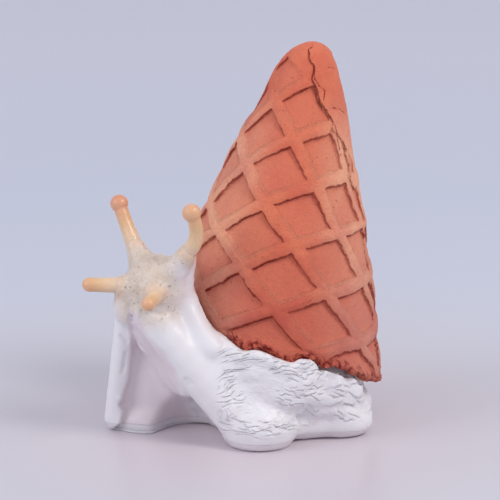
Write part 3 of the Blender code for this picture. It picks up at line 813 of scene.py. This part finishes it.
def make_cone(material):
    """The wafer shell, pressed and crumbling outside and plain inside."""
    bearing = np.linspace(-180.0, 180.0, CONE_COLUMNS, endpoint=False)
    rows, values = cone_rows(bearing)
    tip = (CONE_STATIONS[0][1], AXIS[1], CONE_STATIONS[0][0])
    roof = (station_values(CAVITY_TOP)[0], AXIS[1], CAVITY_TOP + 0.8)
    points = np.concatenate(rows + [[tip, roof]])
    cone = new_piece("wafer_cone", points, tube_faces(len(rows), CONE_COLUMNS), material)
    for name, value in values.items():
        value = np.concatenate(value)
        keep_values(cone, name, np.concatenate([value, value[:1], value[-1:]]))
    return cone


# ---- the skin

# Tentacles: the root, the point that the shaft bends towards and the tip; the radius of the root, the shaft
# and the ball; then how amber the tip is.
TENTACLES = {
    "right_eye_stalk": (
        ((-17.5, 10.1, 29.7), (-18.6, 11.1, 32.2), (-19.65, 12.0, 35.2)), (1.2, 1.05, 1.35), 1.0
    ),
    "left_eye_stalk": (((-8.8, 2.7, 30.2), (-7.0, 1.7, 32.6), (-8.5, 1.0, 36.1)), (1.15, 1.0, 1.35), 0.76),
    "right_feeler": (((-20.0, 5.2, 24.25), (-22.2, 4.8, 24.4), (-23.8, 4.5, 24.5)), (1.12, 1.05, 1.05), 0.78),
    "left_feeler": (((-13.9, 1.2, 23.55), (-14.4, -0.7, 23.35), (-14.8, -2.1, 23.2)), (1.1, 1.0, 1.0), 0.72),
}

HEAD_CENTRE = np.array([-14.6, 6.4, 25.5])
SHOULDER = (-4.2, 7.5)
SEAM_HEIGHT = 1.25
SEAM_GAP = 0.04

# The drum that fills the body round the peg.
CORE_RADIUS = 9.9
CORE_FOOT = 0.2
CORE_TOP = 16.2

# The cone's play in degrees, the room it keeps from the skin, and the further room beside its crumbs.
CONE_PLAY = 5.0
CONE_GAP = 0.4
CRUMB_GAP = 0.4
RIM_GAP = 0.4

# The skin's edge in front of the cone: where it runs, in degrees from the front, and the balls that fill it.
COLLAR_BEARINGS = (-104.0, 50.0)
COLLAR_TOP = 21.2
COLLAR_SIZE = 0.95
FLANK_SIZE = 3.0
BELLY_FROM = -38.0
BELLY_SIZE = 3.2

# Further fullness: two rods in the neck, a chain of balls down it, and the foot's edges on the ground.
NECK_RODS = (
    ((-11.3, 8.4, 25.6), (-11.0, 9.0, 19.6), 2.3, 3.0),
    ((-10.2, 10.6, 19.8), (-6.6, 6.0, 15.9), 2.0, 1.7),
)
NECK_BALLS = (
    (-9.3, 5.0, 28.2, 1.5), (-10.1, 6.0, 25.2, 1.8), (-10.2, 7.0, 22.8, 1.9), (-9.7, 7.4, 21.3, 2.1),
    (-9.0, 6.4, 19.4, 2.0), (-7.7, 5.0, 17.2, 2.0), (-5.6, 3.4, 15.0, 1.9),
)
FOOT_RODS = (
    ((1.25, 1.0, 1.9), (-4.6, 13.5, 2.0), 2.1, 2.2),
    ((6.5, 8.1, 2.0), (15.4, 8.3, 2.0), 2.1, 2.1),
)


# The smooth hollow's two edges: height in the front view, and distance right of the middle there.
HOLLOW_LEFT = (
    (2.5, -22.4), (3.2, -20.6), (3.9, -19.65), (5.8, -19.2), (6.7, -19.8), (7.8, -19.35), (10.5, -18.45),
    (15.0, -18.0), (17.2, -18.0), (19.5, -18.5), (21.5, -18.4),
)
HOLLOW_RIGHT = (
    (2.0, -6.2), (3.0, -6.75), (6.0, -9.0), (8.2, -10.05), (12.0, -10.8), (15.0, -12.75), (17.2, -15.0),
    (20.2, -16.5), (21.0, -17.6),
)
HOLLOW_DEPTH = 1.2

# Creases and folds on the front: a path in the front view, its width, and how far it rises or sinks.
STROKES = (
    (((7.5, 5.6), (12.0, 6.0), (16.5, 6.6), (18.6, 6.2)), 0.9, -0.5),
    (((8.0, 3.2), (13.0, 3.4), (18.4, 3.6)), 1.3, 0.3),
    (((11.6, 12.6), (11.9, 10.6), (11.3, 8.8)), 0.6, -0.35),
    (((14.2, 11.4), (14.6, 9.6)), 0.5, -0.3),
    (((12.9, 11.9), (13.2, 10.2)), 0.5, 0.25),
    (((3.5, 6.2), (7.5, 5.6)), 0.9, -0.25),
    (((-17.0, 20.8), (-16.2, 18.6), (-14.0, 15.2), (-12.4, 12.0), (-9.6, 7.6)), 0.55, 0.3),
    (((-18.2, 21.6), (-17.9, 19.6)), 0.4, -0.35),
    (((-14.8, 20.6), (-13.4, 20.3), (-12.4, 20.7)), 0.35, -0.25),
    (((-19.3, 17.0), (-18.5, 16.2)), 0.35, -0.3),
    (((-18.6, 14.6), (-18.9, 12.8)), 0.3, -0.3),
    (((-18.9, 12.4), (-19.2, 11.6)), 0.3, -0.25),
    (((-19.6, 7.9), (-19.0, 7.4)), 0.3, 0.25),
    (((-9.6, 10.5), (-9.0, 9.9)), 0.35, -0.3),
    (((-9.2, 7.6), (-8.7, 7.2)), 0.3, -0.3),
    (((-8.6, 5.9), (-7.8, 5.2)), 0.3, -0.35),
)


def skin_relief(points, normals):
    """Points moved for the sculpted forms, with how much each is hollow and how much creased."""
    u, up = front_view(points)
    seen = np.stack([u, up], -1)
    facing = ease(0.0, 0.35, normals @ TOWARD_CAMERA)
    left = u - np.interp(up, *np.array(HOLLOW_LEFT).T)
    right = np.interp(up, *np.array(HOLLOW_RIGHT).T) - u
    top = ease(22.0, 20.5, up)
    sunk = facing * ease(-0.1, 0.6, left) * ease(0.0, 4.5, right) * top
    hollow = facing * ease(-0.05, 0.3, left) * ease(-0.2, 0.9, right) * top
    head = ease(8.0, 5.0, np.linalg.norm(points - HEAD_CENTRE, axis=1))
    creased = (1.0 - hollow) * (1.0 - 0.7 * head) * ease(25.0, 20.0, points[:, 2])
    creased *= 0.1 + 0.9 * ease(-15.0, -9.0, points[:, 0])
    creased *= 1.0 - facing * (1.0 - ease(-5.6, -3.4, points[:, 0]) * ease(2.0, 3.6, points[:, 2]))
    height = creased * (0.16 * noise(points, 3.4, 51) + 0.09 * noise(points, 1.5, 52))
    height += (1.0 - hollow) * head * (0.10 * noise(points, 2.2, 53) + 0.06 * noise(points, 0.9, 54))
    for path, width, lift in STROKES:
        height += lift * np.exp(-((path_distance(seen, path) / width) ** 2)) * facing
    moved = points + normals * height[:, None]
    moved[:, 1] += HOLLOW_DEPTH * sunk
    return moved, hollow, creased


def crease_places(points, normals):
    """Coordinates along and across the creases: fanned out from the shoulder, and wrapped round the body."""
    u, up = front_view(points)
    right, above = u - SHOULDER[0], (up - SHOULDER[1]) * 1.15
    reach = np.hypot(right, above)
    spread = np.arctan2(above, right + 1e-6)
    fan = np.stack([reach, spread * np.clip(reach, 3.5, 13.0) * 0.9, points[:, 1] * 0.3], -1)
    bearing = np.arctan2(points[:, 0] - AXIS[0], -(points[:, 1] - AXIS[1]))
    bearing = np.abs(np.mod(bearing + 0.6 + math.pi, 2.0 * math.pi) - math.pi)
    around, level = bearing * 12.0 + 0.5 * points[:, 2], points[:, 2] - 1.5 * np.sin(bearing * 3.0)
    wrap = np.stack([around, level, points[:, 1] * 0.2], -1)
    share = ease(-0.1, 0.3, normals @ np.array([0.0, -1.0, 0.1])) * ease(1.2, 2.2, reach)
    share = share * ease(-4.0, -1.0, right)
    return fan, wrap, share


def clear_of_cone(points):
    """Skin in the cone's way is moved clear: outwards beside its wall, and down under its rim as it turns."""
    dy = points[:, 1] - AXIS[1]
    bearing = np.degrees(np.arctan2(points[:, 0] - AXIS[0], -dy))
    plays = np.linspace(-CONE_PLAY - 1.0, CONE_PLAY + 1.0, 17)
    rim = np.min([rim_height(bearing + play) for play in plays], axis=0) - RIM_GAP
    centre, radius = station_values(np.maximum(points[:, 2], rim))
    dx = points[:, 0] - centre
    distance = np.hypot(dx, dy)
    above = points[:, 2] > rim
    gap = CONE_GAP + CRUMB_GAP * ease(-68.0, -54.0, bearing)
    beside = above & (distance > radius + 0.55 * gap) & (distance < radius + gap)
    stretch = (radius + gap) / distance
    points[beside, 0] = (centre + dx * stretch)[beside]
    points[beside, 1] = (AXIS[1] + dy * stretch)[beside]
    under = above & (distance > radius - CONE_WALL - RIM_GAP) & (distance <= radius + 0.55 * gap)
    points[under, 2] = rim[under]
    return points


def collar_parts():
    """The skin's edge in front of the cone's rim, clear of its wall, with the flank and belly below it."""
    parts = []
    for bearing in np.arange(*COLLAR_BEARINGS, 2.5):
        angle = math.radians(bearing - 90.0)
        rim = min(float(rim_height(np.array([bearing]))[0]), COLLAR_TOP)
        centre, radius = station_values(rim)
        size = COLLAR_SIZE - 0.15 * ease(5.0, 34.0, bearing)
        flank = FLANK_SIZE - 0.6 * ease(-5.0, 34.0, bearing)
        under = ease(8.0, 18.0, bearing)
        lift = 0.45 + 0.35 * ease(-10.0, -45.0, bearing) - 0.3 * under
        balls = [
            (radius + CONE_GAP + size - 1.5 * under, rim + lift - size, size),
            (radius + CONE_GAP + 1.75 * COLLAR_SIZE - flank - 1.6 * under, rim - flank - 0.2, flank),
        ]
        if bearing > BELLY_FROM:
            reach = radius + 1.9 - BELLY_SIZE - 1.5 * ease(2.0, 26.0, bearing)
            balls.append((reach, rim - 5.3, BELLY_SIZE))
        for reach, height, ball in balls:
            parts.append(ball_part(ring_points(centre, reach, angle, height), ball))
    return parts


def split_at(points, faces, low):
    """The part of a closed mesh above or below the seam, closed by a flat face: points and faces."""
    mesh = bpy.data.meshes.new("whole")
    mesh.from_pydata(points.tolist(), [], faces.tolist())
    form = bmesh.new()
    form.from_mesh(mesh)
    bpy.data.meshes.remove(mesh)
    height = SEAM_HEIGHT - 0.5 * SEAM_GAP if low else SEAM_HEIGHT + 0.5 * SEAM_GAP
    everything = form.verts[:] + form.edges[:] + form.faces[:]
    cut = bmesh.ops.bisect_plane(
        form, geom=everything, plane_co=(0.0, 0.0, height), plane_no=(0.0, 0.0, 1.0),
        clear_outer=low, clear_inner=not low,
    )
    rim = [item for item in cut["geom_cut"] if isinstance(item, bmesh.types.BMEdge)]
    bmesh.ops.holes_fill(form, edges=rim, sides=0)
    form.verts.index_update()
    points = np.array([vertex.co for vertex in form.verts])
    faces = [[vertex.index for vertex in face.verts] for face in form.faces]
    form.free()
    return points, faces


def body_parts():
    """Everything that the snail's body is made of, with the sole raised a little to bridge its joint."""
    parts = [node_part("body_shell"), node_part("sole_plate"), node_part("sole_plate", 0.35)]
    parts.append(drum_part(AXIS, CORE_RADIUS, CORE_FOOT, CORE_TOP))
    for (root, bend, _), (root_radius, _, _), _ in TENTACLES.values():
        inward = unit(np.array(root) - bend)
        parts += rod_parts(root + 3.6 * inward, root + 0.6 * inward, 1.75, root_radius + 0.3)
    parts += collar_parts()
    for rod in NECK_RODS:
        parts += rod_parts(*rod)
    for (*start, start_radius), (*end, end_radius) in zip(NECK_BALLS, NECK_BALLS[1:]):
        parts += rod_parts(start, end, start_radius, end_radius, 5)
    for rod in FOOT_RODS:
        parts += rod_parts(*rod)
    return parts


def make_skin_and_sole(skin_material, sole_material):
    """The body as one sculpt, split at the seam, with the creases' coordinates and the colours' shares."""
    points, faces = remeshed(body_parts(), 0.4, 8, 0.25)
    normals = normals_of(points, faces)
    moved, hollow, creased = skin_relief(points, normals)
    moved = clear_of_cone(moved)
    moved[:, 2] = np.maximum(moved[:, 2], 0.0)
    skin_points, skin_faces = split_at(moved, faces, low=False)
    sole_points, sole_faces = split_at(moved, faces, low=True)
    skin = new_piece("skin", skin_points, skin_faces, skin_material)
    sole = new_piece("sole", sole_points, sole_faces, sole_material)

    tree = KDTree(len(moved))
    for index, point in enumerate(moved):
        tree.insert(point, index)
    tree.balance()
    nearest = np.array([tree.find(point)[1] for point in skin_points])
    fan, wrap, share = crease_places(points, normals)
    roots = np.array([path[0][0] for path in TENTACLES.values()])
    near_root = np.min(np.linalg.norm(points[:, None, :] - roots[None, :, :], axis=2), axis=1)
    from_head = np.linalg.norm((points - HEAD_CENTRE) * (1.0, 1.0, 0.9), axis=1)
    head = ease(9.5, 4.5, from_head + 0.8 * noise(points, 2.5, 61))
    head *= np.maximum(ease(-8.5, -12.5, points[:, 0]), ease(26.0, 29.0, points[:, 2]))
    values = {
        "cream": np.maximum(head, ease(4.0, 1.5, near_root)),
        "amber": 0.5 * ease(2.6, 1.0, near_root),
        "hollow": hollow,
        "creased": creased,
        "fan": fan,
        "wrap": wrap,
        "fan_share": share,
    }
    for name, value in values.items():
        keep_values(skin, name, value[nearest])
    return skin, sole


# ---- the tentacles

TENTACLE_RINGS = 56
TENTACLE_SIDES = 40


def make_tentacle(name, material):
    """A tapering shaft on a smooth curve, with a ball or a rounded end."""
    (root, bend, tip), (root_radius, shaft, ball), amber = TENTACLES[name]
    root, bend, tip = np.array(root), np.array(bend), np.array(tip)
    inside = root + unit(root - bend) * 1.2
    shares = np.linspace(0.0, 1.0, TENTACLE_RINGS)[:, None]
    path = (1.0 - shares) ** 2 * root + 2.0 * (1.0 - shares) * shares * bend + shares**2 * tip
    path = np.concatenate([np.linspace(inside, root, 8)[:-1], path])
    radii = shaft + (root_radius - shaft) * ease(0.6, 0.0, np.linspace(-0.15, 1.0, len(path)))
    end = unit(path[-1] - path[-3])
    rings = []
    for i, (point, radius) in enumerate(zip(path, radii)):
        before, after = path[max(i - 1, 0)], path[min(i + 1, len(path) - 1)]
        rings.append((point, after - before, radius))
    neck = math.pi / 2.0 if ball <= shaft else math.asin(shaft / ball) * 0.98
    start = path[-1] - end * ball * math.cos(neck)
    rings = [ring for ring in rings if (ring[0] - start) @ end < -0.05]
    for share in np.linspace(0.0, 0.96, 14):
        turn = neck + (math.pi - neck) * share
        rings.append((path[-1] - end * ball * math.cos(turn), end, ball * math.sin(turn)))
    points, frame_x = [], None
    for centre, direction, radius in rings:
        direction = unit(direction)
        if frame_x is None:
            frame_x = np.cross(direction, (0.3, 0.5, 0.8))
        frame_x = unit(frame_x - direction * (frame_x @ direction))
        frame_y = np.cross(direction, frame_x)
        turns = np.linspace(0.0, 2.0 * math.pi, TENTACLE_SIDES, endpoint=False)
        points.append(centre + radius * (np.cos(turns)[:, None] * frame_x + np.sin(turns)[:, None] * frame_y))
    count, rows = TENTACLE_SIDES, len(points)
    points = np.concatenate(points + [[rings[0][0]], [path[-1] + end * ball]])
    along = np.concatenate([np.repeat(np.arange(rows) / rows, count), [0.0, 1.0]])
    centres = np.concatenate([np.repeat(np.array([ring[0] for ring in rings]), count, axis=0), points[-2:]])
    outward = points - centres
    outward /= np.maximum(np.linalg.norm(outward, axis=1, keepdims=True), 1e-9)
    points = points + outward * 0.04 * noise(points, 1.2, 71)[:, None]
    tentacle = new_piece(f"{name}_gloss", points, tube_faces(rows, count), material)
    keep_values(tentacle, "along", along * amber)
    return tentacle


# ---- the studio


# The floor's radius in metres, and its colours at shares of the reach in millimetres.
FLOOR_RADIUS = 2.5
FLOOR_REACH = 400.0
# Painted light: the floor is pinker under the figure, where light passes through its body, darker just round
# it and paler further out.
FLOOR_STOPS = (
    (0.0, (0.70, 0.61, 0.65)),
    (0.1, (0.61, 0.60, 0.65)),
    (0.22, (0.62, 0.66, 0.75)),
    (0.45, (0.64, 0.69, 0.80)),
    (1.0, (0.75, 0.79, 0.89)),
)
LAMP_TARGET = (0.0, 12.0, 25.0)


def make_floor():
    """A pale round table top, a hair below the sole."""
    form = bmesh.new()
    bmesh.ops.create_circle(form, cap_ends=True, segments=128, radius=FLOOR_RADIUS)
    mesh = bpy.data.meshes.new("floor")
    form.to_mesh(mesh)
    form.free()
    floor = new_object("floor", mesh)
    floor.location.z = -0.05 * MM
    material, tree, shader = start_material("floor", Roughness=0.32, Specular_IOR_Level=0.35)
    place = place_in_mm(tree)
    away = add_node(tree, "VectorMath", {0: place}, operation="LENGTH").outputs["Value"]
    share = maths(tree, "DIVIDE", away, FLOOR_REACH, clamp=True)
    # The floor's colour ramp: painted light and shade round the figure.
    paint(tree, shader, add_ramp(tree, share, FLOOR_STOPS))
    mesh.materials.append(material)


def aim_at(item, place, target):
    """Puts a lamp or a camera in its place and points it at the target."""
    item.location = Vector(to_frame(place))
    aim = Vector(to_frame(target)) - item.location
    item.rotation_euler = aim.to_track_quat("-Z", "Y").to_euler()


def add_softbox(name, place, size, watts, colour):
    light = bpy.data.lights.new(name, "AREA")
    light.shape = "DISK"
    light.size = size * MM
    light.energy = watts
    light.color = colour
    aim_at(new_object(name, light), place, LAMP_TARGET)


def make_studio():
    scene = bpy.context.scene
    scene.view_settings.view_transform = "Standard"
    world = bpy.data.worlds.new("studio")
    scene.world = world
    world.use_nodes = True
    world.node_tree.nodes["Background"].inputs[0].default_value = (0.62, 0.61, 0.69, 1.0)
    world.node_tree.nodes["Background"].inputs[1].default_value = 1.0
    add_softbox("key", (230.0, -150.0, 300.0), 140.0, 0.62, (1.0, 0.96, 0.90))
    add_softbox("fill", (-320.0, -160.0, 200.0), 240.0, 0.45, (0.95, 0.97, 1.0))
    make_floor()

    camera = bpy.data.cameras.new("camera")
    camera.angle = CAMERA_ANGLE
    camera.clip_start = 0.01
    scene.camera = new_object("camera", camera)
    aim_at(scene.camera, np.array(CAMERA_TARGET) + CAMERA_DISTANCE * TOWARD_CAMERA, CAMERA_TARGET)


# ---- pieces

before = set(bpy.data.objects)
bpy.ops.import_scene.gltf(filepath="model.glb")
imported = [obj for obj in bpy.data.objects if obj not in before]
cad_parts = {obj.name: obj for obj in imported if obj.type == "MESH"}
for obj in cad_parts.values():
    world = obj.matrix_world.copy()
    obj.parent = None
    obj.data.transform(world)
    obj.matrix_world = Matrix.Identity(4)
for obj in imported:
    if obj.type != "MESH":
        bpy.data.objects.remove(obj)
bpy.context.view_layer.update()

skin, sole = make_skin_and_sole(make_skin_material(), make_sole_material())
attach(skin, "snail_body")
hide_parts("body_shell")
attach(sole, "snail_body")
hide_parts("sole_plate")

cone = make_cone(make_wafer_material())
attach(cone, "cone")
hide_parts("cone_shell")

amber = make_tentacle_material()
for tentacle_name in TENTACLES:
    tentacle = make_tentacle(tentacle_name, amber)
    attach(tentacle, tentacle_name)
    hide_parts(tentacle_name)

plastic = make_plastic_material()
for inner_name in ("cone_socket", "cone_peg", "peg_retainer"):
    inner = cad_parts[inner_name]
    inner.data.materials.clear()
    inner.data.materials.append(plastic)

make_studio()
